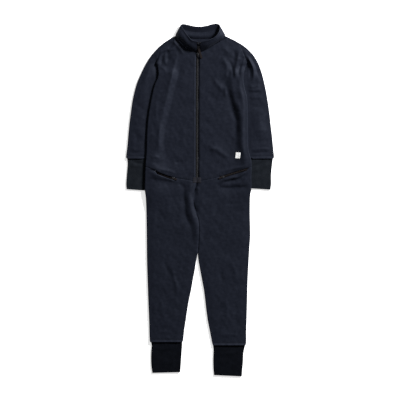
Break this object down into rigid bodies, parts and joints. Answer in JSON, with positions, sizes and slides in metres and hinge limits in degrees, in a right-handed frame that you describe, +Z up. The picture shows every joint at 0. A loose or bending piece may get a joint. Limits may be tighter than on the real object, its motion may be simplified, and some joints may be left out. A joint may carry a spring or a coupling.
{
  "type": "onesie pajama",
  "caption": "Child's fleece zip-front onesie laid flat, with stand collar, long sleeves, slanted zip pockets and rib-knit cuffs at wrists and ankles.",
  "frame": {"origin": "on the floor under the middle of the laid garment's bounding box", "axes": "+Y up the garment from the ankles to the collar, +X to the wearer's left, +Z up from the floor through the front of the garment"},
  "size_m": [0.5028, 1.1984, 0.0308],
  "materials": {
    "fleece": "dark navy brushed fleece, matt, with a short nap",
    "rib_knit": "near-black fine rib knit, matt",
    "zip_tape": "black woven zip tape",
    "zip_plastic": "black moulded coil and coated pull tabs",
    "zip_metal": "dark grey cast slider, satin",
    "woven_tab": "plain white woven tab"
  },
  "bodies": {
    "garment": {"back": "fleece", "front_right": "fleece", "front_left": "fleece", "trouser_front_right": "fleece", "trouser_front_left": "fleece", "trouser_back_right": "fleece", "trouser_back_left": "fleece", "sleeve_right": "fleece", "sleeve_left": "fleece", "arm_cuff_right": "rib_knit", "arm_cuff_left": "rib_knit", "leg_cuff_right": "rib_knit", "leg_cuff_left": "rib_knit", "collar": "fleece", "zip_tape_right": "zip_tape", "zip_tape_left": "zip_tape", "zip_coil_right": "zip_plastic", "zip_coil_left": "zip_plastic", "zip_slider": "zip_metal", "zip_end_patch": "zip_tape", "pocket_tape_right": "zip_tape", "pocket_coil_right": "zip_plastic", "pocket_right_slider": "zip_metal", "pocket_tape_left": "zip_tape", "pocket_coil_left": "zip_plastic", "pocket_left_slider": "zip_metal", "chest_tab": "woven_tab"},
    "front_pull": {"zip_pull": "zip_plastic"},
    "pocket_pull_right": {"pocket_right_pull": "zip_plastic"},
    "pocket_pull_left": {"pocket_left_pull": "zip_plastic"}
  },
  "joints": [
    {"name": "front_pull_hinge", "type": "hinge", "parent": "garment", "child": "front_pull", "pos_m": [-0.00567, 0.51607, 0.01589], "axis": [-0.952, -0.3063, 0], "range_deg": [0, 140]},
    {"name": "pocket_pull_right_hinge", "type": "hinge", "parent": "garment", "child": "pocket_pull_right", "pos_m": [-0.0922, 0.07368, 0.0097], "axis": [-0.2901, -0.957, 0], "range_deg": [0, 150]},
    {"name": "pocket_pull_left_hinge", "type": "hinge", "parent": "garment", "child": "pocket_pull_left", "pos_m": [0.0772, 0.07876, 0.0097], "axis": [-0.3245, 0.9459, 0], "range_deg": [0, 150]}
  ]
}
